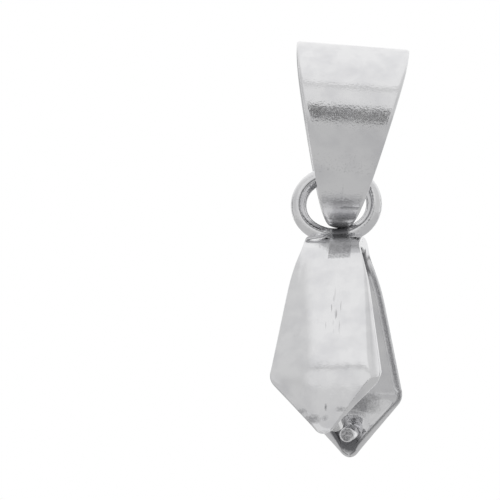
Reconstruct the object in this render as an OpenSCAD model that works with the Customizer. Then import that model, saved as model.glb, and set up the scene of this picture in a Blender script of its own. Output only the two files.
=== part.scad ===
// Pinch bail finding: a bent strap claw with a soldered ring, hanging in a tapered ribbon loop.
// Millimetres. X is across the leaves, Y is the way they open, Z is up.
// The origin is the inside top of the ribbon loop, where the chain carries it.

/* [Claw strap] */
// Thickness of the stamped strap
strap_t = 0.75; // [0.5:0.05:1.2]
// Outer radius of the bend at the crown
crown_r = 3.3; // [2:0.1:5]
// Angle of each leg from upright
leg_angle = 14.8; // [8:0.1:24]
// Half width of the strap on the crown
crown_half = 1.83; // [1.2:0.01:2.6]
// Half width of a leaf at its sharp side corners
leaf_half = 3.79; // [2.5:0.01:5]
// Drawing in of the strap's sides at the shoulders, below the crown
waist = 0.3; // [0:0.02:0.5]
// Length along the strap from crown centre to the shoulders
waist_s = 2.8; // [2:0.1:4]
// Length along the strap from crown centre to the side corners
corner_s = 12.26; // [8:0.02:18]
// Length along the strap from crown centre to the sharp tip
tip_s = 16.26; // [11:0.02:24]
// Radius that rounds each side corner
corner_r = 0.8; // [0.3:0.05:1.5]
// Radius that rounds each tip
tip_r = 0.45; // [0.2:0.05:1]

/* [Leaf dome] */
// Half width of the raised flat on each leaf
plateau_half = 2.0; // [1:0.05:3]
// Rise of the raised flat over the strap's widening
rise = 0.65; // [0.2:0.01:1]
// Rise of a leaf's left side facet over its width, seen from outside
left_slope = 0.38; // [0.2:0.01:1.2]
// Rise of its right side facet over its width
right_slope = 1.15; // [0.2:0.01:2.4]
// Rise of the rolled lip along the right edge
lip_slope = 2.4; // [1.5:0.1:6]
// Height of the rolled lip
lip = 0.22; // [0:0.02:0.4]
// Rise of the lower left facet over its width
low_left = 0.6; // [0.3:0.01:1.2]
// Rise of the lower right facet over its width
low_right = 5.0; // [0.3:0.1:6]
// Fall of the middle facet from the raised flat to the tip
hip_slope = 0.32; // [0.1:0.01:0.6]
// Length before the tip at which the middle facet reaches the edges' plane
hip_end = 0.45; // [0:0.05:1.5]
// Softness of the edges between the facets
facet_soft = 0.11; // [0.02:0.01:0.3]
// Lean of the sheared edge inwards, over the thickness
cut_lean = 0.28; // [0:0.02:0.5]

/* [Pins] */
// Diameter of each pin
pin_d = 1.0; // [0.6:0.05:1.6]
// Distance from the leaf's edge line to the pin's free end
pin_reach = 3.26; // [2:0.02:5]
// Height of each pin's root above the tip, along the strap
pin_up = 1.95; // [1:0.05:4]
// Downward tilt of each pin towards its free end
pin_tilt = 12; // [0:0.5:20]
// Sideways place of both pins on their leaves
pin_x = 0.3; // [-0.6:0.05:0.6]
// Radius of the weld cone at each pin's root
weld_r = 0.95; // [0.6:0.05:1.2]
// Height of the weld cone over the leaf's edge line
weld_h = 0.72; // [0.3:0.02:1]

/* [Ring] */
// Diameter of the ring's wire
wire_d = 1.04; // [0.7:0.02:1.6]
// Radius of the oval ring's side arcs on the wire's centre line
ring_side_r = 1.9; // [1:0.05:3]
// Extra radius of the oval's top and bottom arcs
ring_flat = 1.0; // [0.2:0.1:2]
// Depth that the ring is sunk in the crown
ring_sink = 0.5; // [0.2:0.05:0.7]
// Height of the solder foot on the crown
foot_h = 0.34; // [0.1:0.02:0.6]
// Half width of the solder foot, along Y
foot_half = 1.0; // [0.6:0.05:1.5]
// Length of the solder foot, along X
foot_len = 2.9; // [1:0.1:3.4]

/* [Ribbon] */
// Thickness of the ribbon
ribbon_t = 0.35; // [0.2:0.05:0.6]
// Height of the ribbon loop over all
ribbon_h = 11.8; // [8:0.1:20]
// Depth of the ribbon loop over all, along Y
ribbon_depth = 8.6; // [5:0.1:14]
// Fullness of the loop's upper half
ribbon_egg = 0.13; // [0:0.01:0.3]
// Greatest width of the ribbon, at its top
ribbon_top_w = 7.6; // [4:0.05:12]
// Width of the ribbon where it passes through the ring
ribbon_low_w = 1.42; // [1:0.05:3]
// Loss of width over length along the ribbon
ribbon_taper = 0.474; // [0.2:0.01:0.8]
// Gap between the ribbon's low point and the ring's wire
ribbon_gap = 0.24; // [0.05:0.01:0.5]
// Sideways lean of the ribbon on the ring
ribbon_lean = 4.4; // [0:0.1:8]
// Turn of the ribbon on the ring, about the upright
ribbon_turn = 9; // [0:0.1:15]
// Tip of the ribbon's top towards the front leaf
ribbon_tip = 9; // [0:0.5:15]
// Sideways place of the ribbon on the ring
ribbon_x = 0.2; // [-0.6:0.05:0.6]

/* [Hidden] */
steel = [0.78, 0.78, 0.79];
edge_slope = (leaf_half - crown_half) / corner_s;
low_slope = leaf_half / (tip_s - corner_s);
low_ang = atan(low_slope);
up_ang = atan(edge_slope);
arc_s = crown_r * (90 - leg_angle) * PI / 180;
wire_r = wire_d / 2;
// The four arcs of the oval meet where a 3-4-5 triangle sets their centres
side_x = 0.6 * ring_flat;
top_c = 0.8 * ring_flat;
top_r = ring_side_r + ring_flat;
join_ang = 53.1301;
over_ang = 36.8699;
ring_half_h = top_r - top_c + wire_r;
ring_z = ring_half_h - ring_sink;
hole_low = ring_z - ring_half_h + wire_d;
ribbon_z = hole_low + ribbon_gap;
pivot_z = ribbon_z + ribbon_t / 2;
top_above = ribbon_h - 1.5 * ribbon_t;
// Inside top of the ribbon, before everything is moved to put it at the origin
lean_x = top_above * sin(ribbon_lean);
lean_y = -top_above * cos(ribbon_lean) * sin(ribbon_tip);
hang = [ribbon_x + lean_x * cos(ribbon_turn) - lean_y * sin(ribbon_turn),
        lean_x * sin(ribbon_turn) + lean_y * cos(ribbon_turn),
        pivot_z + top_above * cos(ribbon_lean) * cos(ribbon_tip)];

function smin(a, b, e) = (a + b) / 2 - sqrt(pow((a - b) / 2, 2) + e * e);
function smax(a, b, e) = (a + b) / 2 + sqrt(pow((a - b) / 2, 2) + e * e);

// Half width of the strap at each length, from the crown to a tip, corners rounded
corner_turn = up_ang + low_ang;
corner_set = corner_r * tan(corner_turn / 2);
corner_c = [corner_s - corner_set * cos(up_ang) + corner_r * sin(up_ang),
            leaf_half - corner_set * sin(up_ang) - corner_r * cos(up_ang)];
tip_c = tip_s - tip_r / sin(low_ang);
corner_pts = [for (i = [0 : 6]) let (a = 90 + up_ang - corner_turn * i / 6)
    [corner_c[0] + corner_r * cos(a), corner_c[1] + corner_r * sin(a)]];
tip_pts = [for (i = [0 : 5]) let (a = (90 - low_ang) * (1 - i / 5) + 7 * i / 5)
    [tip_c + tip_r * cos(a), tip_r * sin(a)]];
up_end = corner_pts[0];
low_a = corner_pts[6];
low_b = tip_pts[0];
function upper_half(s) = crown_half + edge_slope * s - waist * exp(-pow((s - waist_s) / 1.6, 2));
half_edge = concat(
    [for (i = [0 : 8]) let (s = arc_s * (i + 0.5) / 9) [s, upper_half(s)]],
    [for (i = [0 : 9]) let (s = arc_s + (up_end[0] - arc_s) * i / 10) [s, upper_half(s)]],
    corner_pts,
    [for (i = [1 : 6]) low_a + (low_b - low_a) * i / 7],
    tip_pts);
edge = concat(
    [for (i = [len(half_edge) - 1 : -1 : 0]) [-half_edge[i][0], half_edge[i][1]]],
    half_edge);

// Height of the leaf's outer face over the plane of its edges
function dome(s, x) = let (
        q = abs(s), w = crown_half + edge_slope * q, along = s < 0 ? x : -x,
        top = smax(0, rise * (w - plateau_half), 0.03),
        soft = facet_soft * min(1, top / 0.3),
        right = min(lip_slope * (w - along), lip + right_slope * (w - along)),
        side = min(left_slope * (w + along), right),
        reach = low_slope * (tip_s - q),
        low = max(0, min(low_left * (reach + along), low_right * (reach - along)) * cos(low_ang)),
        middle = smin(top, hip_slope * (tip_s - hip_end - q), soft),
        edges = smin(side, low, soft * min(1, low / 0.3)))
    max(0, smin(middle, edges, soft * min(1, max(0, edges) / 0.3)));

// Place of the strap's outer edge line, its direction and its outward side, in the plane of Y and Z
function path(s) = let (q = abs(s), g = s < 0 ? -1 : 1)
    q <= arc_s
    ? let (a = q / crown_r * 180 / PI)
        [[g * crown_r * sin(a), crown_r * cos(a) - crown_r], [g * sin(a), cos(a)], [g * cos(a), -sin(a)]]
    : let (r = q - arc_s)
        [[g * (crown_r * cos(leg_angle) + r * sin(leg_angle)),
          crown_r * sin(leg_angle) - crown_r - r * cos(leg_angle)],
         [g * cos(leg_angle), sin(leg_angle)], [g * sin(leg_angle), -cos(leg_angle)]];

// Point on the outer face at length s, a share u of the half width w away from the centre line
function outside(s, u, w) = let (p = path(s), b = dome(s, u * w))
    [u * w, p[0][0] + p[1][0] * b, p[0][1] + p[1][1] * b];

// The same for the inner face, which is drawn in from the edges because the cut edges lean with the facets
function inside(s, u, w) = let (
        q = abs(s), g = s < 0 ? -1 : 1, e = 0.05, near = sign(u) * (w - 0.12),
        rim = max(0, (dome(s, near) - dome(s, near + sign(u) * e)) / e),
        fall = (dome(s, u * w - e) - dome(s, u * w + e)) / (2 * e),
        n = 1 / sqrt(1 + fall * fall),
        inset = min(strap_t * (rim / sqrt(1 + rim * rim) + cut_lean), 0.5 * w),
        low = max(0, min(1, (q - corner_s) / (tip_s - corner_s))),
        p = path(g * (q - 0.36 * low)),
        b = dome(s, u * w) - strap_t * max(n, 0.84))
    [u * (w - inset), p[0][0] + p[1][0] * b, p[0][1] + p[1][1] * b];

module strap() {
    across = [-1, -0.86, -0.7, -0.52, -0.3, -0.1, 0.1, 0.3, 0.52, 0.7, 0.86, 1];
    k = len(across);
    n = 2 * k;
    m = len(edge);
    points = [for (e = edge) each concat(
        [for (u = across) outside(e[0], u, e[1])],
        [for (i = [k - 1 : -1 : 0]) inside(e[0], across[i], e[1])])];
    sides = [for (i = [0 : m - 2]) for (j = [0 : n - 1])
        let (a = i * n, b = a + n, h = (j + 1) % n)
        each [[a + h, a + j, b + j], [b + h, a + h, b + j]]];
    ends = [for (j = [0 : k - 2]) let (a = n - 1 - j, b = (m - 1) * n)
        each [[a, j, j + 1], [a - 1, a, j + 1], [b + j + 1, b + j, b + a], [b + j + 1, b + a, b + a - 1]]];
    polyhedron(points = points, faces = concat(sides, ends), convexity = 6);
}

module pin(side) {
    s = tip_s - pin_up;
    p = path(s);
    root = dome(s, pin_x) - 0.45 * strap_t;
    translate([pin_x, side * p[0][0], p[0][1]])
        rotate([side * (90 + pin_tilt), 0, 0])
        {
            translate([0, 0, -root]) cylinder(h = pin_reach + root, d = pin_d, $fn = 48);
            cylinder(h = weld_h, r1 = weld_r, d2 = pin_d, $fn = 48);
        }
}

module arc_of_wire(r, from, sweep) {
    rotate([90, 0, 0]) rotate([0, 0, from])
        rotate_extrude(angle = sweep, $fn = 96) translate([r, 0]) circle(d = wire_d, $fn = 40);
}

module ring_quarter() {
    translate([side_x, 0, 0]) arc_of_wire(ring_side_r, 0, join_ang);
    translate([0, 0, -top_c]) arc_of_wire(top_r, join_ang, over_ang);
}

module ring() {
    translate([0, 0, ring_z]) {
        ring_quarter();
        mirror([1, 0, 0]) ring_quarter();
        mirror([0, 0, 1]) ring_quarter();
        mirror([1, 0, 0]) mirror([0, 0, 1]) ring_quarter();
    }
}

module solder_foot() {
    rotate([90, 0, 90])
        translate([0, 0, -foot_len / 2])
            linear_extrude(height = foot_len)
                polygon([[-foot_half, -0.36], [foot_half, -0.36], [foot_half, -0.1],
                         [0.74, -0.02], [0.58, 0.12], [0.5, foot_h],
                         [-0.5, foot_h], [-0.58, 0.12], [-0.74, -0.02], [-foot_half, -0.1]]);
}

module pinch_claw() {
    color(steel) translate(-hang) union() {
        strap();
        pin(1);
        pin(-1);
        ring();
        solder_foot();
    }
}

// Width of the ribbon at angle a round its loop, 0 at the top and 180 at the low point
function ribbon_w(a) = let (r = a * PI / 180, s = 5.2 * r - 0.45 * sin(2 * a))
    smin(ribbon_top_w, ribbon_low_w + ribbon_taper * (16.34 - s), 0.55);

// Point on the loop's outer line, in the plane of Y and Z
function loop_at(a) = [ribbon_depth / 2 * sin(a) * (1 + ribbon_egg * cos(a)), ribbon_h / 2 * (1 + cos(a))];

function ribbon_ring(a) = let (
        f = a > 180 ? 360 - a : a, w = ribbon_w(f) / 2, c = 0.07,
        p = loop_at(a), q = loop_at(a + 0.5) - loop_at(a - 0.5), m = norm(q),
        n = [-q[1] / m, q[0] / m],
        rows = [[w - c, 0], [w, c], [w, ribbon_t - c], [w - c, ribbon_t],
                [c - w, ribbon_t], [-w, ribbon_t - c], [-w, c], [c - w, 0]])
    [for (r = rows) [r[0], p[0] - n[0] * r[1], p[1] - n[1] * r[1]]];

module ribbon_bail() {
    n = 84;
    rings = [for (i = [0 : n - 1]) ribbon_ring(360 * i / n)];
    k = len(rings[0]);
    color(steel) translate(-hang)
        translate([ribbon_x, 0, pivot_z]) rotate([0, 0, ribbon_turn]) rotate([ribbon_tip, 0, 0])
            rotate([0, ribbon_lean, 0]) translate([0, 0, ribbon_z - pivot_z])
            polyhedron(
                points = [for (r = rings) each r],
                faces = [for (i = [0 : n - 1]) for (j = [0 : k - 1])
                    let (a = i * k, b = ((i + 1) % n) * k, h = (j + 1) % k)
                    each [[a + j, b + j, a + h], [a + h, b + j, b + h]]],
                convexity = 6);
}

ribbon_bail();
pinch_claw();
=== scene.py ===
import math

import bmesh
import bpy
import numpy as np
from mathutils import Matrix, Vector


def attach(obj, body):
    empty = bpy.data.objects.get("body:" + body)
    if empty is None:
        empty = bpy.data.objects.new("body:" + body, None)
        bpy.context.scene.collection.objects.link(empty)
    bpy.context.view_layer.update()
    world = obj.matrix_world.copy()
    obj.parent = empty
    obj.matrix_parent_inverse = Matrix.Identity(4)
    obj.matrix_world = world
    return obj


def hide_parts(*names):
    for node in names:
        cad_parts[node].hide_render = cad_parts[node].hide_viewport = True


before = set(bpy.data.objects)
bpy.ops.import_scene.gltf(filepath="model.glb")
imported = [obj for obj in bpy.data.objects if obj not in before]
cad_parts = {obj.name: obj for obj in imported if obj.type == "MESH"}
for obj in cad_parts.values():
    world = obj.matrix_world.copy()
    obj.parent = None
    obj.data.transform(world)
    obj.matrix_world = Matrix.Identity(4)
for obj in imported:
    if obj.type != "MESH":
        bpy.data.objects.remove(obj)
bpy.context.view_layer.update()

bl_info = {
    "name": "Pinch bail finding",
    "version": (1, 0, 0),
    "blender": (4, 5, 0),
    "location": "View3D > Sidebar > Finding",
    "description": "Builds a polished steel pinch bail: domed strap, ring, pins and ribbon loop",
    "category": "Add Mesh",
}

MM = 0.001


# Property helpers

def length(name, text, mm):
    """A size in metres, given in millimetres."""
    return bpy.props.FloatProperty(
        name=name, description=text, default=mm * MM, min=0, unit="LENGTH", precision=5)


def angle(name, text, degrees):
    """An angle in radians, given in degrees."""
    return bpy.props.FloatProperty(
        name=name, description=text, default=math.radians(degrees), subtype="ANGLE")


def number(name, text, value):
    """A plain number."""
    return bpy.props.FloatProperty(name=name, description=text, default=value, precision=3)


def linear(hex_colour):
    """An sRGB hex colour as linear red, green, blue and alpha."""
    parts = [int(hex_colour[i:i + 2], 16) / 255 for i in (1, 3, 5)]
    return [c / 12.92 if c <= 0.04045 else ((c + 0.055) / 1.055) ** 2.4 for c in parts] + [1.0]


def colour(name, text, hex_colour):
    """A colour, given as sRGB hex and kept as linear."""
    return bpy.props.FloatVectorProperty(
        name=name, description=text, default=linear(hex_colour), size=4, min=0, max=1,
        subtype="COLOR")


# Sizes and colours

class StrapSizes(bpy.types.PropertyGroup):
    """Sizes of the bent strap and its two domed leaves."""

    thick: length("Thickness", "Thickness of the stamped strap", 0.75)
    crown_r: length("Crown radius", "Outer radius of the bend at the crown", 3.3)
    leg_angle: angle("Leg angle", "Angle of each leg from upright", 14.8)
    crown_half: length("Crown half width", "Half width of the strap on the crown", 1.83)
    leaf_half: length("Leaf half width", "Half width of a leaf at its side corners", 3.79)
    waist: length("Waist", "Drawing in of the sides at the shoulders", 0.3)
    waist_at: length("Waist place", "Length along the strap to the shoulders", 2.8)
    waist_run: length("Waist run", "Length over which the waist fades", 1.6)
    corner_at: length("Corner place", "Length along the strap to the side corners", 12.26)
    tip_at: length("Tip place", "Length along the strap to the sharp tip", 16.5)
    corner_r: length("Corner radius", "Radius of each side corner", 1.1)
    tip_r: length("Tip radius", "Radius of each tip", 0.8)
    plateau_half: length("Plateau half width", "Half width of the raised flat", 2.0)
    rise: number("Rise", "Rise of the raised flat over the strap's widening", 0.65)
    left_slope: number("Left slope", "Rise of the left side facet over its width", 0.38)
    right_slope: number("Right slope", "Rise of the right side facet over its width", 1.15)
    lip_slope: number("Lip slope", "Rise of the rolled lip along the right edge", 2.4)
    lip: length("Lip", "Height of the rolled lip", 0.22)
    low_left: number("Lower left slope", "Rise of the lower left facet over its width", 0.6)
    low_right: number("Lower right slope", "Rise of the lower right facet over its width", 5.0)
    cut_lean: number("Cut lean", "Lean of the sheared edge over the thickness", 0.28)
    hip_slope: number("Hip slope", "Fall of the middle facet from the raised flat to the tip", 0.32)
    hip_end: length("Hip end", "Length between the low end of the middle facet and the tip", 0.53)
    hip_soft: number("Hip softness", "Softness of the hip over that of the other ridges", 1.8)
    back_soft: number("Back softness", "The same on the leaf's hollow back", 4.0)
    soft: length("Facet softness", "Softness of the ridges between facets", 0.11)
    rim: length("Tumbled rim", "Width of the polished rounding of the outer rim", 0.2)
    inner_rim: length("Inner rim", "Width of the rounding of the inner rim", 0.07)
    pin_d: length("Pin diameter", "Diameter of each pin", 1.0)
    pin_reach: length("Pin reach", "Length from the leaf's edge line to the pin's free end", 3.26)
    pin_up: length("Pin height", "Height of each pin's root above the tip", 2.19)
    pin_tilt: angle("Pin tilt", "Downward tilt of each pin", 12)
    pin_x: length("Pin side place", "Sideways place of both pins", 0.3)
    pin_chamfer: length("Pin chamfer", "Width of the chamfer round each free end", 0.07)
    weld_r: length("Weld radius", "Radius of the weld cone at each pin's root", 0.95)
    weld_h: length("Weld height", "Height of the weld cone over the edge line", 0.72)
    mark_r: length("Set mark radius", "Radius of the set mark round each pin", 1.32)
    mark_depth: length("Set mark depth", "Depth of the set mark round each pin", 0.12)


class RingSizes(bpy.types.PropertyGroup):
    """Sizes of the oval ring and its solder."""

    wire_d: length("Wire", "Diameter of the ring's wire", 1.04)
    side_r: length("Side radius", "Radius of the side arcs on the wire's centre line", 1.9)
    flat: length("Flattening", "Extra radius of the top and bottom arcs", 1.0)
    sink: length("Sink", "Depth that the ring is sunk in the crown", 0.5)
    foot: length("Solder foot", "Half width of the solder's foot", 0.93)
    foot_long: length("Solder length", "Half length of the solder's foot", 1.44)


class RibbonSizes(bpy.types.PropertyGroup):
    """Sizes of the tapered ribbon loop."""

    thick: length("Thickness", "Thickness of the ribbon", 0.35)
    high: length("Height", "Height of the loop over all", 11.8)
    deep: length("Depth", "Depth of the loop over all", 8.6)
    egg: number("Fullness", "Fullness of the loop's upper half", 0.13)
    top_w: length("Top width", "Greatest width of the ribbon", 7.6)
    low_w: length("Low width", "Width of the ribbon in the ring", 1.42)
    taper: number("Taper", "Loss of width over length", 0.474)
    gap: length("Gap", "Gap between the ribbon and the ring", 0.24)
    lean: angle("Lean", "Sideways lean on the ring", 4.4)
    turn: angle("Turn", "Turn about the upright", 9)
    tip: angle("Tip", "Tip of the top towards the front leaf", 9)
    side: length("Side place", "Sideways place on the ring", 0.2)
    band: length("Edge band", "Width of the polished rounding along both edges", 0.27)
    seam_angle: angle("Seam", "Place of the butt seam round the loop", 216)
    seat: length("Seat", "Drop of the ribbon's low point into the ring", 0.13)
    sag: length("Sag", "Bulge of the ribbon's low point into the ring's curve", 0.11)


class SteelColours(bpy.types.PropertyGroup):
    """Colours of the steel, and of the studio it reflects."""

    steel: colour("Polished steel", "Clean polished stainless steel", "#E7E7E8")
    hazy: colour("Hazy steel", "Slightly duller clouds left by the polish", "#DCDCDE")
    torn: colour("Torn edge", "Grainy half of a sheared edge", "#77777A")
    # The soot colour is painted as shade in the seat, the crevices and round the pins, as dark reflections
    # on the crown and ribbon, and as grime
    soot: colour("Soot", "Dark polishing residue in the seat and the crevices", "#57575B")
    floor: colour("Floor", "Pale floor", "#CFCFCF")


# Fine shape, in millimetres unless a comment says otherwise

FACE_SOFT, LIP_SOFT = 0.03, 0.05  # Softness where the raised face starts, and of the rolled lip
THIN = 0.3  # Height of the dome under which its ridges grow sharper
PROBE, RIM_PROBE = 0.05, 0.12  # Step over which a slope is taken, and its distance from the edge
BACK_DRAW = 0.36  # Drawing up of the leaf's back at the tip
THIN_WALL = 0.84  # Least share of the strap's thickness under a steep facet
MARK_FADE = 0.16  # Width of the set mark's edge
MARK_FROM, MARK_FULL = 0.7, 1.3  # Half widths of the leaf where the set mark starts and is full
TIP_STOP = math.radians(7)  # Angle at which the outline of a tip ends
RIM_SHARE, BAND_SHARE = 0.35, 0.3  # Greatest rim and edge band, as shares of the half width
STEP_SHARE = 0.45  # Greatest part of a side that its rounding takes
CUT_PLACES = (0.3, 0.5, 0.75)  # Rows of points across the cut edge, as shares of its width

# Steps along the strap, and across its two faces
CROWN_STEPS, LEAF_STEPS, CORNER_STEPS, LOW_STEPS, TIP_STEPS = 22, 64, 15, 28, 9
FACE_STEPS, BACK_STEPS = 49, 45
# Points of a rounding: the strap's outer rim, both inner rims, and the ribbon's outer edge
RIM_STEPS, INNER_STEPS, EDGE_STEPS = 6, 4, 7
# Wall values across a rim and cut edge: 0 is the outer face, 1 to 2 the cut, 3 the back
SIDE_WALL = [0.2, 0.4, 0.6, 0.8, 1.0, 1.2, 1.7, 2.0, 2.2, 2.5, 2.8]
# Wall values that end the face, and that start the inner edge and the back
ON_FACE, ON_EDGE, ON_BACK = 0.5, 1.9, 2.4

STRIP_HALF = 16.34  # Half the length of the ribbon's strip
STRIP_RATE, STRIP_SWAY = 5.2, 0.45  # The strip's length per radian, and how that varies
WIDTH_SOFT = 0.55  # Softness with which the taper meets the full width
SEAM_HALF, SEAT_HALF = 0.012, 0.3  # Half widths of the seam and of the seat, in radians
# Depth of the seam's notch, the crease's share of it, and the crease's half width
NOTCH_DEEP, CREASE_SHARE, CREASE_HALF = 0.05, 0.2, 0.03
CREASE_COLUMN = 0.05  # Side place of the points beside the crease, as a share
EDGE_DEEP, BACK_EDGE = 0.17, 0.09  # Depth of the outer rounding, and size of the inner one
RIBBON_STEPS, RIBBON_COLUMNS, RIBBON_BACK = 360, 17, 11  # Steps round it and across its two faces

JOIN_COS, JOIN_SIN = 0.6, 0.8  # Cosine and sine of the angle at which the ring's arcs join
WIRE_STEPS, ARC_STEPS = 32, 36  # Steps round the ring's wire and along each of its arcs
FRONT_LINE, INNER_LINE = 23, 18  # Rows of points that carry the wire's two dark lines
PIN_STEPS = 48  # Steps round a pin
SOLDER_ROWS, SOLDER_STEPS = 33, 25  # Steps along the solder and across it


# Fine finish: amounts of painted shade, painted reflection, grime or tear by place

# By degrees round the ribbon: painted shade in the seat, its reach across, dark bands of painted
# reflection, and the crease
SEAT_SHADE = [(150, 0), (165, 0.7), (190, 0.7), (198, 0.54), (203, 0.42), (207, 0)]
SEAT_SHADE_REACH = [(190, 1.0), (207, 0.6)]
REFLECTION_BANDS = [(199, 0), (203, 0.12), (213, 0.12), (215, 0.36), (224, 0.34), (227, 0.25), (242, 0.18),
              (245, 0.29), (256, 0.27), (272, 0)]
CREASE = [(200, 0), (204, 1), (234, 1), (240, 0)]
# Painted reflection of the ribbon, a dark patch on the crown, by radians down from its apex
CROWN_REFLECTION = [(0.5, 0.44), (0.75, 0.48), (0.95, 0.58), (1.04, 0.66), (1.06, 0.56), (1.2, 0.56), (1.23, 0)]
# Tear by wall value, down to the side corners and below them
TEAR = [(0.95, 0), (1.15, 1), (1.95, 1), (2.25, 0.1)]
LOW_TEAR = [(1.0, 0), (1.7, 0.15), (2.0, 0.9), (2.2, 0.9), (2.5, 0)]
# How far down the tear starts on the front and the rear leg, its run, and where it thins out
TEAR_FRONT, TEAR_REAR, TEAR_RUN = -3.2, -0.9, 1.5
TEAR_THINS = (-10.1, -10.9)
REFLECTION_AT, REFLECTION_OUT, REFLECTION_IN = 0.62, 0.78, 0.72  # Side place of the painted reflection on the crown, and its two half widths
PIN_SHADE_R, PIN_SHADE_RUN = 1.1, 0.5  # Radius of the painted shade round a pin, and how it falls off
# Middle and half size of the haze above a pin, across and down from it, and of the scuffed patch
HAZE_ACROSS, HAZE_DOWN = (0.7, 1.5), (-1.7, 0.9)
SCUFF_ACROSS, SCUFF_UP = (0.45, 0.5), (-5.9, 1.5)
SLIT_LOW, SLIT_HIGH = (-2.6, -2.0), (-0.2, -0.6)  # Heights over which the two ends of the painted shade slit fade in
# Painted shade at the ring's foot: heights over which it fades in, and its middle and half width
RING_SHADE_HIGH, RING_SHADE_WIDE = (1.1, 0.7), (0.3, 0.65)
# The same on the solder, where it fades in towards the wire
SOLDER_SHADE_OUT, SOLDER_SHADE_WIDE = (0.78, 0.53), (0.3, 0.6)
PIN_SHADE_HIGH = (0.9, 0.5)  # Heights along a pin over which painted shade fades in towards its root
PIN_END_DIRT, DARK_LINE_AMOUNT = 0.62, 0.85  # Amounts on a pin's dished end and on the wire's two dark lines
# Smudges low on the front leaf: side place, height, half width, half height in millimetres, and amount
SMUDGES = [(0.14, -12.1, 0.1, 0.3, 0.8), (-0.75, -12.85, 0.7, 0.42, 0.66), (-1.5, -12.3, 0.6, 0.26, 0.56),
           (1.15, -12.25, 0.5, 0.25, 0.6), (0.1, -12.8, 0.35, 0.3, 0.52), (-3.3, -9.85, 0.08, 0.4, 0.5)]


def graded(value, stops):
    """Amounts between stops, each a place and an amount."""
    places, amounts = zip(*stops)
    return np.interp(value, places, amounts)


def fade(value, start, stop):
    """Zero up to start, rising to one at stop."""
    return np.clip((value - start) / (stop - start), 0, 1)


def spot(value, middle, half, power=2):
    """One at the middle, falling off over the half width."""
    return np.exp(-((value - middle) / half) ** power)


def smooth(t):
    return t * t * (3 - 2 * t)


# Geometry in millimetres, in the claw's own frame with the crown's apex at zero

def settings(group):
    """The sizes of a group in millimetres and its angles in radians, by name."""
    values = {}
    for key in group.bl_rna.properties.keys():
        value = getattr(group, key)
        if isinstance(value, float):
            values[key] = value / MM if group.bl_rna.properties[key].unit == "LENGTH" else value
    return type("Sizes", (), values)


def soft_min(a, b, soft):
    return (a + b) / 2 - np.sqrt(((a - b) / 2) ** 2 + soft * soft)


def soft_max(a, b, soft):
    return (a + b) / 2 + np.sqrt(((a - b) / 2) ** 2 + soft * soft)


def turned(points, axis, radians):
    return points @ np.array(Matrix.Rotation(radians, 3, axis)).T


class Layout:
    """Places that the pieces share, worked out from the sizes."""

    def __init__(self, scene):
        self.strap = settings(scene.strap_sizes)
        self.ring = settings(scene.ring_sizes)
        self.ribbon = settings(scene.ribbon_sizes)
        wire = self.ring.wire_d
        self.top_r = self.ring.side_r + self.ring.flat
        self.side_x = JOIN_COS * self.ring.flat
        self.top_c = JOIN_SIN * self.ring.flat
        half_high = self.top_r - self.top_c + wire / 2
        self.ring_z = half_high - self.ring.sink
        self.ribbon_z = self.ring_z - half_high + wire + self.ribbon.gap
        self.pivot_z = self.ribbon_z + self.ribbon.thick / 2
        inside_top = np.array([[0, 0, self.ribbon.high - 1.5 * self.ribbon.thick]])
        self.hang = self.place_ribbon(inside_top, 0)[0]

    def place_ribbon(self, points, lift):
        """Points of the upright loop, lifted, leaned, tipped and turned as it hangs on the ring."""
        r = self.ribbon
        points = points + [0, 0, lift]
        points = turned(turned(turned(points, "Y", r.lean), "X", r.tip), "Z", r.turn)
        return points + [r.side, 0, self.pivot_z]

    def in_row(self, points):
        """Points in metres, with the inside top of the ribbon at the origin."""
        return (np.asarray(points) - self.hang) * MM


def edge_slope(strap):
    return (strap.leaf_half - strap.crown_half) / strap.corner_at


def low_slope(strap):
    return strap.leaf_half / (strap.tip_at - strap.corner_at)


def crown_arc(strap):
    """Length of the bend from the crown's apex to a leg."""
    return strap.crown_r * (math.pi / 2 - strap.leg_angle)


def dome(strap, s, x, hip_soft=None):
    """Height of the outer face over the plane of its edges, at length s from the apex and side place x.

    The length is negative on the front leaf.
    """
    along = np.abs(s)
    x = np.where(s < 0, x, -x)
    half = strap.crown_half + edge_slope(strap) * along
    top = soft_max(0, strap.rise * (half - strap.plateau_half), FACE_SOFT)
    soft = strap.soft * np.minimum(1, top / THIN)
    lip = strap.lip_slope * (half - x)
    right = soft_min(lip, strap.lip + strap.right_slope * (half - x), LIP_SOFT)
    side = np.minimum(strap.left_slope * (half + x), right)
    reach = low_slope(strap) * (strap.tip_at - along)
    across = math.cos(math.atan(low_slope(strap)))
    low = np.minimum(strap.low_left * (reach + x), strap.low_right * (reach - x))
    low = np.maximum(0, low * across)
    hip = strap.hip_slope * (strap.tip_at - strap.hip_end - along)
    middle = soft_min(top, hip, soft * (hip_soft or strap.hip_soft))
    edges = soft_min(side, low, soft * np.minimum(1, low / THIN))
    return np.maximum(0, soft_min(middle, edges, soft * np.minimum(1, np.maximum(edges, 0) / THIN)))


def strap_path(strap, s):
    """Place of the strap's edge line and its outward side, in Y and Z."""
    leg = np.maximum(0, np.abs(s) - crown_arc(strap))
    bend = np.minimum(np.abs(s), crown_arc(strap)) / strap.crown_r
    sign = np.where(s < 0, -1.0, 1.0)
    y = strap.crown_r * np.sin(bend) + leg * math.sin(strap.leg_angle)
    up = strap.crown_r * (np.cos(bend) - 1) - leg * math.cos(strap.leg_angle)
    return np.stack([sign * y, up], -1), np.stack([sign * np.sin(bend), np.cos(bend)], -1)


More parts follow.
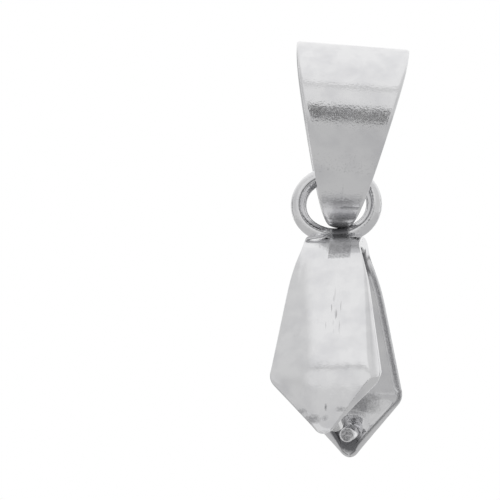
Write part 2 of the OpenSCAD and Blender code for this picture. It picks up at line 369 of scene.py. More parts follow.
def strap_outline(strap):
    """Lengths and half widths from the crown to a tip, with the corners rounded."""
    upper, lower = math.atan(edge_slope(strap)), math.atan(low_slope(strap))
    back = strap.corner_r * math.tan((upper + lower) / 2)
    corner_s = strap.corner_at - back * math.cos(upper) + strap.corner_r * math.sin(upper)
    corner_w = strap.leaf_half - back * math.sin(upper) - strap.corner_r * math.cos(upper)
    turn = math.pi / 2 + upper - (upper + lower) * np.linspace(0, 1, CORNER_STEPS)
    corner = np.stack(
        [corner_s + strap.corner_r * np.cos(turn), corner_w + strap.corner_r * np.sin(turn)], -1)
    tip_s = strap.tip_at - strap.tip_r / math.sin(lower)
    turn = np.linspace(math.pi / 2 - lower, TIP_STOP, TIP_STEPS)
    tip = np.stack([tip_s + strap.tip_r * np.cos(turn), strap.tip_r * np.sin(turn)], -1)
    crown = crown_arc(strap) * (np.arange(CROWN_STEPS) + 0.5) / CROWN_STEPS
    s = np.concatenate([crown, np.linspace(crown_arc(strap), corner[0, 0], LEAF_STEPS)[:-1]])
    waist = strap.waist * spot(s, strap.waist_at, strap.waist_run)
    half = strap.crown_half + edge_slope(strap) * s - waist
    low_line = corner[-1] + (tip[0] - corner[-1]) * np.linspace(0, 1, LOW_STEPS)[1:-1, None]
    return np.concatenate([np.stack([s, half], -1), corner, low_line, tip])


def on_strap(strap, s, x, height):
    """Points at length s and side place x, at a height over the plane of the edges."""
    place, outward = strap_path(strap, s)
    y = place[..., 0] + outward[..., 0] * height
    up = place[..., 1] + outward[..., 1] * height
    return np.stack([x, y, up], -1)


def outer_face(strap, s, x):
    return on_strap(strap, s, x, dome(strap, s, x))


def inner_face(strap, s, share, half):
    """The inner face at a share of the half width, drawn in because the cut edges lean with the facets."""
    along, sign = np.abs(s), np.where(s < 0, -1.0, 1.0)
    near = np.sign(share) * (half - RIM_PROBE)
    edge_fall = dome(strap, s, near) - dome(strap, s, near + np.sign(share) * PROBE)
    rim = np.maximum(0, edge_fall / PROBE)
    above = share * half
    fall = (dome(strap, s, above - PROBE) - dome(strap, s, above + PROBE)) / (2 * PROBE)
    inset = np.minimum(strap.thick * (rim / np.sqrt(1 + rim * rim) + strap.cut_lean), 0.5 * half)
    low = fade(along, strap.corner_at, strap.tip_at)
    drawn = along - BACK_DRAW * (low + smooth(low)) / 2
    x = share * (half - inset)
    wall = strap.thick * np.maximum(1 / np.sqrt(1 + fall * fall), THIN_WALL)
    from_pin = np.hypot(x - strap.pin_x, drawn - (strap.tip_at - strap.pin_up))
    mark = smooth(fade(from_pin, strap.mark_r, strap.mark_r - MARK_FADE))
    mark = strap.mark_depth * mark * fade(half, MARK_FROM, MARK_FULL)
    return on_strap(strap, sign * drawn, x, dome(strap, s, above, strap.back_soft) - wall + mark)


def bezier(start, middle, end, steps):
    """Points of a rounded corner from start to end, drawn towards the middle."""
    t = np.linspace(0, 1, steps)[:, None, None]
    return (1 - t) ** 2 * start + 2 * t * (1 - t) * middle + t * t * end


def step_from(start, end, far):
    """The point that lies far along from start to end."""
    way = end - start
    size = np.linalg.norm(way, axis=-1, keepdims=True)
    return start + way * np.minimum(far / np.maximum(size, 1e-6), STEP_SHARE)


def rim_width(strap, half):
    return np.minimum(strap.rim, RIM_SHARE * half)


def strap_side(strap, s, half, sign):
    """The rounded rims and the cut edge on one side, from the outer face to the back."""
    rim = rim_width(strap, half)
    top = outer_face(strap, s, sign * (half - rim))
    corner = outer_face(strap, s, sign * half)
    low = inner_face(strap, s, sign * 1.0, half)
    cut = step_from(corner, low, rim[:, None])
    cut_low = step_from(low, corner, strap.inner_rim)
    inner = step_from(low, inner_face(strap, s, sign * 0.9, half), strap.inner_rim)
    outer = bezier(top, corner, cut, RIM_STEPS)[1:]
    across = [cut + (cut_low - cut) * t for t in CUT_PLACES]
    return [*outer, *across, *bezier(cut_low, low, inner, INNER_STEPS)[:-1]]


def strap_points(strap):
    """Rings of points round the strap from tip to tip, and a wall value for each point of a ring."""
    outline = strap_outline(strap)
    s = np.concatenate([-outline[::-1, 0], outline[:, 0]])
    half = np.concatenate([outline[::-1, 1], outline[:, 1]])
    inside = half - rim_width(strap, half)
    face = [outer_face(strap, s, share * inside) for share in np.linspace(-1, 1, FACE_STEPS)]
    back = [inner_face(strap, s, share, half) for share in np.linspace(0.97, -0.97, BACK_STEPS)]
    right, left = strap_side(strap, s, half, 1), strap_side(strap, s, half, -1)[::-1]
    wall = [0.0] * FACE_STEPS + SIDE_WALL + [3.0] * BACK_STEPS + SIDE_WALL[::-1]
    return np.stack([*face, *right, *back, *left], 1), wall


# Mesh makers

def new_piece(name, points, faces, body, material):
    """A smooth mesh piece that rides on a CAD body."""
    mesh = bpy.data.meshes.new(name)
    mesh.from_pydata([tuple(p) for p in points], [], faces)
    mesh.validate()
    piece = bpy.data.objects.new(name, mesh)
    bpy.context.scene.collection.objects.link(piece)
    shell = bmesh.new()
    shell.from_mesh(mesh)
    bmesh.ops.recalc_face_normals(shell, faces=shell.faces)
    shell.to_mesh(mesh)
    shell.free()
    mesh.shade_smooth()
    mesh.materials.append(material)
    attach(piece, body)
    return piece


def swept(rings, looped):
    """Points and faces of a tube through rings of points, looped or with an end face on each end."""
    m, n = rings.shape[:2]
    faces = []
    for i in range(m if looped else m - 1):
        a, b = i * n, (i + 1) % m * n
        faces += [(a + j, a + (j + 1) % n, b + (j + 1) % n, b + j) for j in range(n)]
    if not looped:
        faces += [tuple(range(n)), tuple(range((m - 1) * n, m * n))]
    return rings.reshape(-1, 3), faces


def mark_points(piece, name, values):
    """Writes one number to each point of a piece."""
    made = piece.data.attributes.new(name, "FLOAT", "POINT")
    made.data.foreach_set("value", np.asarray(values, np.float32).ravel())


# Materials

def add_node(tree, kind, links=None, **values):
    """Adds a node with its settings; links gives its inputs numbers or other nodes' outputs."""
    made = tree.nodes.new(kind)
    for name, value in values.items():
        setattr(made, name, value)
    for name, value in (links or {}).items():
        if isinstance(value, bpy.types.NodeSocket):
            tree.links.new(value, made.inputs[name])
        else:
            made.inputs[name].default_value = value
    return made


def blank_material(name):
    material = bpy.data.materials.new(name)
    material.use_nodes = True
    material.node_tree.nodes.clear()
    return material, material.node_tree


def polished_steel(name, colours, ripple_high, grain_high, ragged=0.5):
    """Stainless steel, stamped and tumble polished: mirror-like, with faint ripple, grain and clouds."""
    material, tree = blank_material(name)
    place = add_node(tree, "ShaderNodeTexCoord").outputs["Object"]
    # The ripple is about 0.9 mm from crest to crest, the grain 0.12 mm
    ripple = add_node(tree, "ShaderNodeTexNoise", {"Vector": place, "Scale": 1 / (0.9 * MM), "Detail": 1.0})
    grain = add_node(tree, "ShaderNodeTexNoise", {"Vector": place, "Scale": 1 / (0.12 * MM), "Detail": 2.0})
    rough = add_node(tree, "ShaderNodeMapRange", {
        "Value": ripple.outputs["Fac"], "From Min": 0.3, "From Max": 0.7, "To Min": 0.08, "To Max": 0.15})
    surface = add_node(tree, "ShaderNodeBump", {
        "Height": ripple.outputs["Fac"], "Strength": 1.0, "Distance": ripple_high * MM})
    surface = add_node(tree, "ShaderNodeBump", {
        "Height": grain.outputs["Fac"], "Strength": 1.0, "Distance": grain_high * MM,
        "Normal": surface.outputs["Normal"]})
    cloud = add_node(tree, "ShaderNodeTexNoise", {"Vector": place, "Scale": 1 / (1.3 * MM), "Detail": 3.0})
    haze = add_node(tree, "ShaderNodeMapRange", {
        "Value": cloud.outputs["Fac"], "From Min": 0.4, "From Max": 0.7, "To Min": 0.0, "To Max": 1.0})
    tone = add_node(tree, "ShaderNodeMix", {
        "Factor": haze.outputs["Result"], "A": colours.steel, "B": colours.hazy}, data_type="RGBA")
    shader = add_node(tree, "ShaderNodeBsdfPrincipled", {
        "Base Color": tone.outputs["Result"], "Metallic": 1.0, "Roughness": rough.outputs["Result"],
        "Normal": surface.outputs["Normal"]})
    shade_and_residue(tree, colours, shader, grain, ragged)
    add_node(tree, "ShaderNodeOutputMaterial", {"Surface": shader.outputs["BSDF"]})
    return material


def strap_steel(name, colours):
    """The strap's steel, with its torn cut edge and a few scratches left by pliers."""
    material = polished_steel(name, colours, 0.016, 0.005, ragged=0.5)
    tree = material.node_tree
    shader = tree.nodes["Principled BSDF"]
    place = add_node(tree, "ShaderNodeTexCoord").outputs["Object"]
    scratches(tree, colours, shader, place)
    torn_edge(tree, colours, shader, place)
    return material


def shade_and_residue(tree, colours, shader, grain, ragged):
    """Darkens the colour where the points carry painted shade, painted reflections and grime, with an edge
    broken up by the grain.
    """
    soot = add_node(tree, "ShaderNodeAttribute", attribute_name="soot").outputs["Fac"]
    broken = add_node(tree, "ShaderNodeMath", {
        0: grain.outputs["Fac"], 1: ragged, 2: -0.5 * ragged}, operation="MULTIPLY_ADD")
    moved = add_node(tree, "ShaderNodeMath", {0: soot, 1: broken.outputs["Value"]}, operation="ADD")
    cover = add_node(tree, "ShaderNodeMapRange", {
        "Value": moved.outputs["Value"], "From Min": 0.3, "From Max": 0.9, "To Min": 0.0, "To Max": 0.9})
    colour_in, rough_in = shader.inputs["Base Color"], shader.inputs["Roughness"]
    tint = add_node(tree, "ShaderNodeMix", {
        "Factor": cover.outputs["Result"], "A": colour_in.links[0].from_socket, "B": colours.soot},
        data_type="RGBA")
    dull = add_node(tree, "ShaderNodeMath", {
        0: cover.outputs["Result"], 1: 0.25, 2: rough_in.links[0].from_socket}, operation="MULTIPLY_ADD")
    metal = add_node(tree, "ShaderNodeMath", {
        0: cover.outputs["Result"], 1: -0.5, 2: 1.0}, operation="MULTIPLY_ADD")
    tree.links.new(tint.outputs["Result"], colour_in)
    tree.links.new(dull.outputs["Value"], rough_in)
    tree.links.new(metal.outputs["Value"], shader.inputs["Metallic"])


def scratches(tree, colours, shader, place):
    """Hairline scratches along the leaf, about 1.5 mm long, where the points carry scuffs."""
    scuff = add_node(tree, "ShaderNodeAttribute", attribute_name="scuff").outputs["Fac"]
    # The noise is 0.17 mm from crest to crest across the leaf and 1.3 mm along it
    drawn = add_node(tree, "ShaderNodeMapping", {
        "Vector": place, "Rotation": (0, math.radians(8), 0),
        "Scale": (1 / (0.17 * MM), 1 / (2 * MM), 1 / (1.3 * MM))})
    lines = add_node(tree, "ShaderNodeTexNoise", {
        "Vector": drawn.outputs["Vector"], "Scale": 1.0, "Detail": 1.0})
    thin = add_node(tree, "ShaderNodeMapRange", {
        "Value": lines.outputs["Fac"], "From Min": 0.6, "From Max": 0.7, "To Min": 0.0, "To Max": 0.6})
    cover = add_node(tree, "ShaderNodeMath", {0: thin.outputs["Result"], 1: scuff}, operation="MULTIPLY")
    base = shader.inputs["Base Color"]
    tint = add_node(tree, "ShaderNodeMix", {
        "Factor": cover.outputs["Value"], "A": base.links[0].from_socket, "B": colours.torn},
        data_type="RGBA")
    tree.links.new(tint.outputs["Result"], base)


def torn_edge(tree, colours, shader, place):
    """Adds the torn, grainy half of the cut edge, where the points are marked as torn."""
    amount = add_node(tree, "ShaderNodeAttribute", attribute_name="torn").outputs["Fac"]
    # The tear's grain is about 0.07 mm
    grain = add_node(tree, "ShaderNodeTexNoise", {"Vector": place, "Scale": 1 / (0.07 * MM), "Detail": 2.0})
    speckle = add_node(tree, "ShaderNodeMapRange", {
        "Value": grain.outputs["Fac"], "From Min": 0.35, "From Max": 0.62, "To Min": 0.45, "To Max": 1.0})
    cover = add_node(tree, "ShaderNodeMath", {
        0: amount, 1: speckle.outputs["Result"]}, operation="MULTIPLY")
    colour_in, rough_in, normal_in = (shader.inputs[name] for name in ("Base Color", "Roughness", "Normal"))
    tint = add_node(tree, "ShaderNodeMix", {
        "Factor": cover.outputs["Value"], "A": colour_in.links[0].from_socket, "B": colours.torn},
        data_type="RGBA")
    dull = add_node(tree, "ShaderNodeMath", {
        0: amount, 1: 0.3, 2: rough_in.links[0].from_socket}, operation="MULTIPLY_ADD")
    rougher = add_node(tree, "ShaderNodeBump", {
        "Height": grain.outputs["Fac"], "Strength": amount, "Distance": 0.012 * MM,
        "Normal": normal_in.links[0].from_socket})
    tree.links.new(tint.outputs["Result"], colour_in)
    tree.links.new(dull.outputs["Value"], rough_in)
    tree.links.new(rougher.outputs["Normal"], normal_in)


# The studio that the steel reflects

# Tones of the tent by degrees above the horizon, in front and at the sides
TENT_FRONT = [(-90, 0.40), (-60, 0.42), (-40, 0.50), (-22, 0.56), (-6, 0.70), (8, 0.72), (10, 0.84),
              (32, 0.86), (35.5, 0.52), (38.5, 0.94), (90, 1.0)]
TENT_SIDES = [(-90, 0.40), (-40, 0.64), (-3, 0.70), (10, 0.64), (25, 0.70), (45, 0.76), (60, 0.95),
              (90, 1.0)]
# Share of the side tones by degrees round from the front
TENT_TURN = [(-180, 0.5), (-45, 1.0), (-20, 0.0), (22, 0.0), (38, 1.0), (180, 0.5)]
# Share of the white backdrop, by the same degrees
TENT_BACK = [(-180, 0.9), (-125, 0.9), (-95, 0.0), (95, 0.0), (125, 0.9), (180, 0.9)]
# The grey card's reach in degrees, and its tone
CARD_HIGH = [(-90, 0.0), (-9, 0.0), (-5, 1.0), (7.5, 1.0), (9.5, 0.0), (90, 0.0)]
CARD_WIDE = [(-180, 0.0), (5.5, 0.0), (8, 1.0), (13, 1.0), (15.5, 0.0), (180, 0.0)]
CARD_TONE = 0.15
# The tent's dark poles: degrees round from the front, half width and tone, and their reach in height
POLES = ((-144, 7, 0.35), (-108, 7, 0.2), (133, 7, 0.35))
POLE_HIGH = [(-90, 0.0), (-20, 0.0), (-10, 1.0), (15, 1.0), (24, 0.0), (90, 0.0)]


# Operators

class FINDING_OT_ribbon(bpy.types.Operator):
    """Make the tapered ribbon loop with its butt seam"""

    bl_idname = "finding.ribbon"
    bl_label = "Ribbon loop"

    def execute(self, context):
        scene = context.scene
        layout = Layout(scene)
        ribbon = layout.ribbon
        around = np.linspace(0, 2 * math.pi, RIBBON_STEPS + 1)[:-1]
        fold = np.where(around > math.pi, 2 * math.pi - around, around)
        run = STRIP_RATE * fold - STRIP_SWAY * np.sin(2 * fold)
        half = soft_min(ribbon.top_w, ribbon.low_w + ribbon.taper * (STRIP_HALF - run), WIDTH_SOFT) / 2

        def line(t):
            y = ribbon.deep / 2 * np.sin(t) * (1 + ribbon.egg * np.cos(t))
            return np.stack([y, ribbon.high / 2 * (1 + np.cos(t))], -1)

        step = 0.004
        ahead = line(around + step) - line(around - step)
        ahead /= np.linalg.norm(ahead, axis=1, keepdims=True)
        outward = np.stack([-ahead[:, 1], ahead[:, 0]], -1)
        seam = spot(around, ribbon.seam_angle, SEAM_HALF)
        seat = spot(around, math.pi, SEAT_HALF)
        # A shallow crease runs up the middle from the seat, across the seam
        crease = graded(np.degrees(around), CREASE)

        def row(x, depth):
            groove = CREASE_SHARE * crease * spot(x, 0, CREASE_HALF)
            notch = seam * np.clip(x / half * 4 + 0.3, 0, 1) + groove
            place = line(around) - outward * (depth + NOTCH_DEEP * notch)[:, None]
            drop = seat * (ribbon.seat + ribbon.sag * (1 - (x / half) ** 2))
            return np.stack([x, place[:, 0], place[:, 1] - drop], -1)

        face = np.zeros_like(around)
        rear = face + ribbon.thick
        inside = half - np.minimum(ribbon.band, BAND_SHARE * half)
        across = np.append(np.linspace(-1, 1, RIBBON_COLUMNS), [-CREASE_COLUMN, CREASE_COLUMN])
        across = np.sort(across)

        def side(sign):
            edge = sign * half
            outer = bezier(
                row(sign * inside, face), row(edge, face), row(edge, face + EDGE_DEEP), EDGE_STEPS)
            inner = bezier(
                row(edge, rear - BACK_EDGE), row(edge, rear), row(sign * (half - BACK_EDGE), rear),
                INNER_STEPS)
            return [*outer[1:], *inner]

        flat = [row(share * inside, face) for share in across]
        back = [row(share * (half - BACK_EDGE), rear) for share in np.linspace(1, -1, RIBBON_BACK)[1:-1]]
        rings = np.stack([*flat, *side(1), *back, *side(-1)[::-1]], 1)
        points, faces = swept(rings, True)
        points = layout.place_ribbon(points, layout.ribbon_z - layout.pivot_z)
        steel = polished_steel("polished steel ribbon", scene.steel_colours, 0.006, 0.008)
        piece = new_piece("ribbon_strip", layout.in_row(points), faces, "ribbon", steel)
        mark_points(piece, "soot", self.soot(np.degrees(around), across, rings.shape[1], seam, crease))
        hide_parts("ribbon_bail")
        return {"FINISHED"}

    def soot(self, degrees, across, columns, seam, crease):
        """Painted shade round the low point, dark bands of painted reflection above it, grime in the seam,
        and a darker line along the crease.
        """
        seat, bands = graded(degrees, SEAT_SHADE), graded(degrees, REFLECTION_BANDS)
        values = np.repeat(np.maximum(seat, bands)[:, None], columns, 1)
        patch = np.clip((graded(degrees, SEAT_SHADE_REACH)[:, None] - np.abs(across)) / 0.12, 0, 1)
        face = np.maximum(seat[:, None] * patch, bands[:, None])
        # The seam is open over the crease and to its right, and the crease is one column wide
        face += 0.25 * seam[:, None] * (across > -1.2 * CREASE_COLUMN)
        face += 0.12 * crease[:, None] * (np.abs(across) < 0.2 * CREASE_COLUMN)
        values[:, :len(across)] = face
        return values


class FINDING_OT_strap(bpy.types.Operator):
    """Make the bent strap with both leaves"""

    bl_idname = "finding.strap"
    bl_label = "Strap and leaves"

    def execute(self, context):
        scene = context.scene
        layout = Layout(scene)
        rings, wall = strap_points(layout.strap)
        points, faces = swept(rings, False)
        steel = strap_steel("polished steel strap", scene.steel_colours)
        piece = new_piece("leaf_strap", layout.in_row(points), faces, "claw", steel)
        wall = np.tile(wall, (len(rings), 1))
        mark_points(piece, "soot", self.soot(layout.strap, rings, wall))
        x, y, up = rings[..., 0], rings[..., 1], rings[..., 2]
        # A fine scuffed patch lies on the front leaf's raised face
        scuff = spot(x, *SCUFF_ACROSS, 4) * spot(up, *SCUFF_UP, 4) * ((wall < ON_FACE) & (y < 0))
        mark_points(piece, "scuff", scuff)
        # The cut edge is smooth round the crown, torn on the legs, and less torn below the side corners
        below = fade(up, *TEAR_THINS)
        torn = graded(wall, TEAR) * (1 - below) + graded(wall, LOW_TEAR) * below
        start = np.where(y > 0, TEAR_REAR, TEAR_FRONT)
        mark_points(piece, "torn", torn * fade(up, start, start - TEAR_RUN))
        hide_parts("pinch_claw")
        return {"FINISHED"}

    def soot(self, strap, rings, wall):
        """A painted reflection of the ribbon as a dark patch on the crown beside the ring, smudges low on
        the front leaf, and painted shade and a haze inside.
        """
        x, y, up = rings[..., 0], rings[..., 1], rings[..., 2]
        # The dark patch on the crown beside the ring is a painted reflection of the ribbon
        tint = graded(np.arctan2(np.abs(y), up + strap.crown_r), CROWN_REFLECTION)
        outside = tint * fade(np.abs(x - REFLECTION_AT), REFLECTION_OUT, REFLECTION_IN)
        for at, low, wide, high, amount in SMUDGES:
            outside = np.maximum(outside, amount * spot(x, at, wide) * spot(up, low, high) * (y < 0))
        pin, _ = strap_path(strap, np.array(strap.tip_at - strap.pin_up))
        side, drop = x - strap.pin_x, pin[1] - up
        near = np.hypot(side, drop)
        low_left = (drop - side) / np.maximum(near, 0.01) / math.sqrt(2)
        # Painted shade lies round the pin, mostly low on its left, with a haze above it
        pin_shade = 1.15 * spot(np.maximum(near, PIN_SHADE_R), PIN_SHADE_R, PIN_SHADE_RUN)
        pin_shade = pin_shade * np.clip(0.48 + 0.75 * low_left, 0, 1)
        haze = 0.54 * spot(side, *HAZE_ACROSS, 4) * spot(drop, *HAZE_DOWN, 4)
        # A slit of painted shade below the crown, on the inner edge of the rear leg
        slit = 0.85 * fade(up, *SLIT_LOW) * fade(up, *SLIT_HIGH) * (y > 1)
        inner_edge = np.where(wall > ON_EDGE, np.maximum(pin_shade, slit), 0)
        inside = np.where(wall > ON_BACK, np.maximum(inner_edge, haze), inner_edge)
        return np.where(wall < ON_FACE, outside, inside)


class FINDING_OT_ring(bpy.types.Operator):
    """Make the oval ring and the solder that holds it"""

    bl_idname = "finding.ring"
    bl_label = "Ring and solder"

    def execute(self, context):
        scene = context.scene
        layout = Layout(scene)
        steel = polished_steel("polished steel ring", scene.steel_colours, 0.006, 0.012)
        join = math.acos(JOIN_COS)
        centres, outward = [], []
        for start, sweep, r, cx, cz in (
                (-join, 2 * join, layout.ring.side_r, layout.side_x, 0),
                (join, math.pi - 2 * join, layout.top_r, 0, -layout.top_c),
                (math.pi - join, 2 * join, layout.ring.side_r, -layout.side_x, 0),
                (math.pi + join, math.pi - 2 * join, layout.top_r, 0, layout.top_c)):
            for t in start + sweep * np.arange(ARC_STEPS) / ARC_STEPS:
                centres.append((cx + r * math.cos(t), cz + r * math.sin(t)))
                outward.append((math.cos(t), math.sin(t)))
        centres, outward = np.array(centres), np.array(outward)
        rings = []
        wire_r = layout.ring.wire_d / 2
        for t in np.linspace(0, 2 * math.pi, WIRE_STEPS + 1)[:-1]:
            flat = centres + outward * wire_r * math.cos(t)
            y = np.full(len(flat), wire_r * math.sin(t))
            rings.append(np.stack([flat[:, 0], y, flat[:, 1] + layout.ring_z], -1))
        rings = np.stack(rings, 1)
        points, faces = swept(rings, True)
        piece = new_piece("oval_ring", layout.in_row(points), faces, "claw", steel)
        # Painted shade on the ring's foot, where it sits in the crown
        soot = 1.1 * fade(rings[..., 2], *RING_SHADE_HIGH) * spot(rings[..., 0], *RING_SHADE_WIDE, 4)
        # Two dark lines run along the wire, on its front and on its inner side
        for line in (FRONT_LINE, INNER_LINE):
            soot[:, line] = np.maximum(soot[:, line], DARK_LINE_AMOUNT)
        mark_points(piece, "soot", soot)
        self.solder(layout, steel)
        return {"FINISHED"}

    def solder(self, layout, steel):
        """A concave fillet on both sides of the ring, where it meets the crown."""
        ring, crown_r = layout.ring, layout.strap.crown_r
        wire_r = ring.wire_d / 2
        climb_to, over_wire, skin, root = wire_r - 0.06, 0.12, 0.012, 0.15
        rows = []
        for x in np.linspace(-1, 1, SOLDER_ROWS):
            foot = wire_r + (ring.foot - wire_r) * math.sqrt(max(0.0, 1 - 0.96 * x * x))
            wire = layout.ring_z + layout.top_c - math.sqrt(layout.top_r ** 2 - (x * ring.foot_long) ** 2)
            y = np.linspace(-foot, foot, SOLDER_STEPS)
            along = np.full_like(y, x * ring.foot_long)
            crown = np.sqrt(crown_r ** 2 - y * y) - crown_r
            climb = fade(np.abs(y), foot, climb_to) ** 2
            top = crown - skin + climb * (max(wire, 0) + over_wire - crown) * (1 - 0.9 * x ** 4)
            up = np.stack([along, y, top], -1)
            down = np.stack([along, y, crown - root], -1)[::-1]
            rows.append(np.concatenate([up, down]))
        points, faces = swept(np.stack(rows), False)
        piece = new_piece("solder_fillet", layout.in_row(points), faces, "claw", steel)
        # Painted shade on the solder beside the wire
        soot = 0.66 * spot(points[:, 0], *SOLDER_SHADE_WIDE, 4) * fade(np.abs(points[:, 1]), *SOLDER_SHADE_OUT)
        mark_points(piece, "soot", soot)


class FINDING_OT_pins(bpy.types.Operator):
    """Make the two pins that point inward from the leaves"""

    bl_idname = "finding.pins"
    bl_label = "Pins"

    def execute(self, context):
        scene = context.scene
        layout = Layout(scene)
        strap = layout.strap
        steel = polished_steel("polished steel pins", scene.steel_colours, 0.006, 0.012, ragged=1.0)
        r, c, reach, weld = strap.pin_d / 2, strap.pin_chamfer, strap.pin_reach, strap.weld_h
        s = strap.tip_at - strap.pin_up
        root = float(dome(strap, s, strap.pin_x)) - 0.45 * strap.thick
        # Radius and height of the root, the weld cone, the wire and its chamfered, slightly dished end
        profile = [
            (0.001, -root), (r, -root), (r, 0),
            (strap.weld_r, 0), (r + 0.22, 0.5 * weld), (r + 0.06, 0.8 * weld), (r, weld + 0.1),
            (r, reach - c), (r - 0.35 * c, reach - 0.3 * c), (r - c, reach),
            (r - 1.6 * c, reach - 0.25 * c), (0.001, reach - 0.3 * c)]
        high = np.array([height for _, height in profile])[:, None]
        turn = np.linspace(0, 2 * math.pi, PIN_STEPS + 1)[:-1]
        circle = np.stack([np.cos(turn), np.sin(turn), np.zeros_like(turn)], -1)
        rings = np.stack([circle * radius + [0, 0, height] for radius, height in profile])
        for name, side in (("rear_pin_wire", 1), ("front_pin_wire", -1)):
            points, faces = swept(rings, False)
            points = turned(points, "X", side * (math.pi / 2 + strap.pin_tilt))
            place, _ = strap_path(strap, np.array(side * s))
            points = points + [strap.pin_x, place[0], place[1]]
            piece = new_piece(name, layout.in_row(points), faces, "claw", steel)
            piece.data.set_sharp_from_angle(angle=math.radians(35))
            low_left = -(np.cos(turn) + side * np.sin(turn)) / math.sqrt(2)
            # Painted shade on each pin, mostly low on its left, fading in towards its root
            shade_and_dull_end = fade(high, *PIN_SHADE_HIGH) * np.clip(0.45 + 0.7 * low_left, 0, 1)
            # The dished end is dull
            shade_and_dull_end[-2:] = PIN_END_DIRT
            mark_points(piece, "soot", shade_and_dull_end)
        return {"FINISHED"}


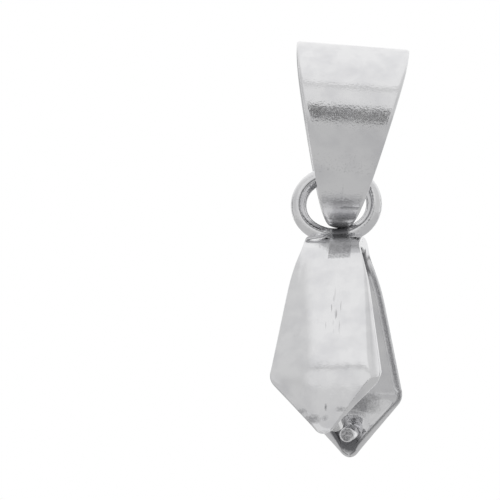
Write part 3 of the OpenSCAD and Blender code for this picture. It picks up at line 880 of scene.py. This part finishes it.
class FINDING_OT_stage(bpy.types.Operator):
    """Set the pale floor, the studio that the steel reflects, the lamp and the camera"""

    bl_idname = "finding.stage"
    bl_label = "Stage"

    def execute(self, context):
        scene = context.scene
        layout = Layout(scene)
        self.floor(scene)
        self.studio(scene)
        self.lamp(scene)
        self.camera(scene, layout)
        scene.view_settings.view_transform = "Standard"
        scene.view_settings.look = "None"
        return {"FINISHED"}

    def floor(self, scene):
        # A wide square below the finding, in metres
        half, low = 0.6, -0.115
        mesh = bpy.data.meshes.new("floor")
        corners = [(x * half, y * half, low) for x, y in ((-1, -1), (1, -1), (1, 1), (-1, 1))]
        mesh.from_pydata(corners, [], [(0, 1, 2, 3)])
        floor = bpy.data.objects.new("floor", mesh)
        scene.collection.objects.link(floor)
        material, tree = blank_material("matt painted floor")
        shader = add_node(tree, "ShaderNodeBsdfPrincipled", {
            "Base Color": scene.steel_colours.floor, "Roughness": 0.9})
        add_node(tree, "ShaderNodeOutputMaterial", {"Surface": shader.outputs["BSDF"]})
        mesh.materials.append(material)

    def studio(self, scene):
        """A white tent that darkens a little to the sides, with a grey card in front above the camera."""
        world = bpy.data.worlds.new("studio tent")
        scene.world = world
        world.use_nodes = True
        tree = world.node_tree
        tree.nodes.clear()
        way = add_node(tree, "ShaderNodeSeparateXYZ", {
            "Vector": add_node(tree, "ShaderNodeTexCoord").outputs["Generated"]}).outputs

        def maths(operation, *inputs):
            made = add_node(tree, "ShaderNodeMath", dict(enumerate(inputs)), operation=operation)
            return made.outputs["Value"]

        def blend(share, a, b, blend_type="MIX"):
            made = add_node(tree, "ShaderNodeMix", {"Factor": share, "A": a, "B": b},
                            data_type="RGBA", blend_type=blend_type)
            return made.outputs["Result"]

        height = maths("ARCSINE", way["Z"])
        round_at = maths("ARCTAN2", way["X"], maths("MULTIPLY", way["Y"], -1.0))

        def ramp(value, low, high, tones):
            """Tones by angle in degrees, from low to high."""
            part = add_node(tree, "ShaderNodeMapRange", {
                "Value": value, "From Min": math.radians(low), "From Max": math.radians(high)})
            made = add_node(tree, "ShaderNodeValToRGB", {"Fac": part.outputs["Result"]})
            stops = made.color_ramp.elements
            for i, (at, tone) in enumerate(tones):
                stop = stops[i] if i < 2 else stops.new(1.0)
                stop.position = (at - low) / (high - low)
                stop.color = (tone, tone, tone, 1)
            return made.outputs["Color"]

        white = (1, 1, 1, 1)
        front = ramp(height, -90, 90, TENT_FRONT)
        sides = ramp(height, -90, 90, TENT_SIDES)
        seen = blend(ramp(round_at, -180, 180, TENT_TURN), front, sides)
        seen = blend(ramp(round_at, -180, 180, TENT_BACK), seen, white)
        card = maths("MULTIPLY", ramp(height, -90, 90, CARD_HIGH), ramp(round_at, -180, 180, CARD_WIDE))
        seen = blend(card, seen, (CARD_TONE, CARD_TONE, CARD_TONE, 1))
        stops = [(-180, 1.0), (180, 1.0)]
        for at, half, tone in POLES:
            core = half * 0.6
            stops += [(at - half, 1.0), (at - core, tone), (at + core, tone), (at + half, 1.0)]
        poles = ramp(round_at, -180, 180, sorted(stops))
        seen = blend(ramp(height, -90, 90, POLE_HIGH), seen, poles, "MULTIPLY")
        # The camera itself sees plain white behind the finding
        seen = blend(add_node(tree, "ShaderNodeLightPath").outputs["Is Camera Ray"], seen, white)
        shine = add_node(tree, "ShaderNodeBackground", {"Color": seen, "Strength": 1.0})
        add_node(tree, "ShaderNodeOutputWorld", {"Surface": shine.outputs["Background"]})

    def lamp(self, scene):
        data = bpy.data.lights.new("overhead softbox", "AREA")
        data.shape = "DISK"
        data.size = 0.3
        data.energy = 0.15
        lamp = bpy.data.objects.new("overhead softbox", data)
        lamp.location = (-0.15, -0.25, 0.35)
        lamp.rotation_euler = (Vector((0, 0, 0)) - lamp.location).to_track_quat("-Z", "Y").to_euler()
        lamp.visible_glossy = False
        scene.collection.objects.link(lamp)

    def camera(self, scene, layout):
        """A long lens at the photograph's angle, with the crown's apex at its place in the picture."""
        azimuth, rise, far, scale = math.radians(8.8), math.radians(-9), 400, 15.24
        apex_px, middle_px, wide_px = (336.5, 236.5), 250, 500
        right = np.array([math.cos(azimuth), math.sin(azimuth), 0])
        front = np.array([math.sin(azimuth), -math.cos(azimuth), 0])
        back = front * math.cos(rise) + [0, 0, math.sin(rise)]
        up = np.cross(back, right)
        aside, over = (apex_px[0] - middle_px) / scale, (apex_px[1] - middle_px) / scale
        place = back * far - right * aside + up * over
        data = bpy.data.cameras.new("long lens")
        data.sensor_width = 36
        data.lens = data.sensor_width * scale * far / wide_px
        data.clip_start, data.clip_end = 0.01, 20
        camera = bpy.data.objects.new("camera", data)
        camera.location = layout.in_row(place)
        camera.rotation_euler = Vector(-back).to_track_quat("-Z", "Y").to_euler()
        scene.collection.objects.link(camera)
        scene.camera = camera


OPERATORS = (FINDING_OT_ribbon, FINDING_OT_strap, FINDING_OT_ring, FINDING_OT_pins, FINDING_OT_stage)


class FINDING_PT_panel(bpy.types.Panel):
    """Lists the finding's operators"""

    bl_idname = "FINDING_PT_panel"
    bl_label = "Pinch bail"
    bl_space_type = "VIEW_3D"
    bl_region_type = "UI"
    bl_category = "Finding"

    def draw(self, context):
        for operator in OPERATORS:
            self.layout.operator(operator.bl_idname)


GROUPS = {"strap_sizes": StrapSizes, "ring_sizes": RingSizes, "ribbon_sizes": RibbonSizes,
          "steel_colours": SteelColours}


def register():
    for kind in (*GROUPS.values(), *OPERATORS, FINDING_PT_panel):
        bpy.utils.register_class(kind)
    for name, kind in GROUPS.items():
        setattr(bpy.types.Scene, name, bpy.props.PointerProperty(type=kind))


def unregister():
    for name in GROUPS:
        delattr(bpy.types.Scene, name)
    for kind in (*GROUPS.values(), *OPERATORS, FINDING_PT_panel):
        bpy.utils.unregister_class(kind)


def main():
    register()
    bpy.ops.finding.ribbon()
    bpy.ops.finding.strap()
    bpy.ops.finding.ring()
    bpy.ops.finding.pins()
    bpy.ops.finding.stage()


if __name__ == "__main__":
    main()
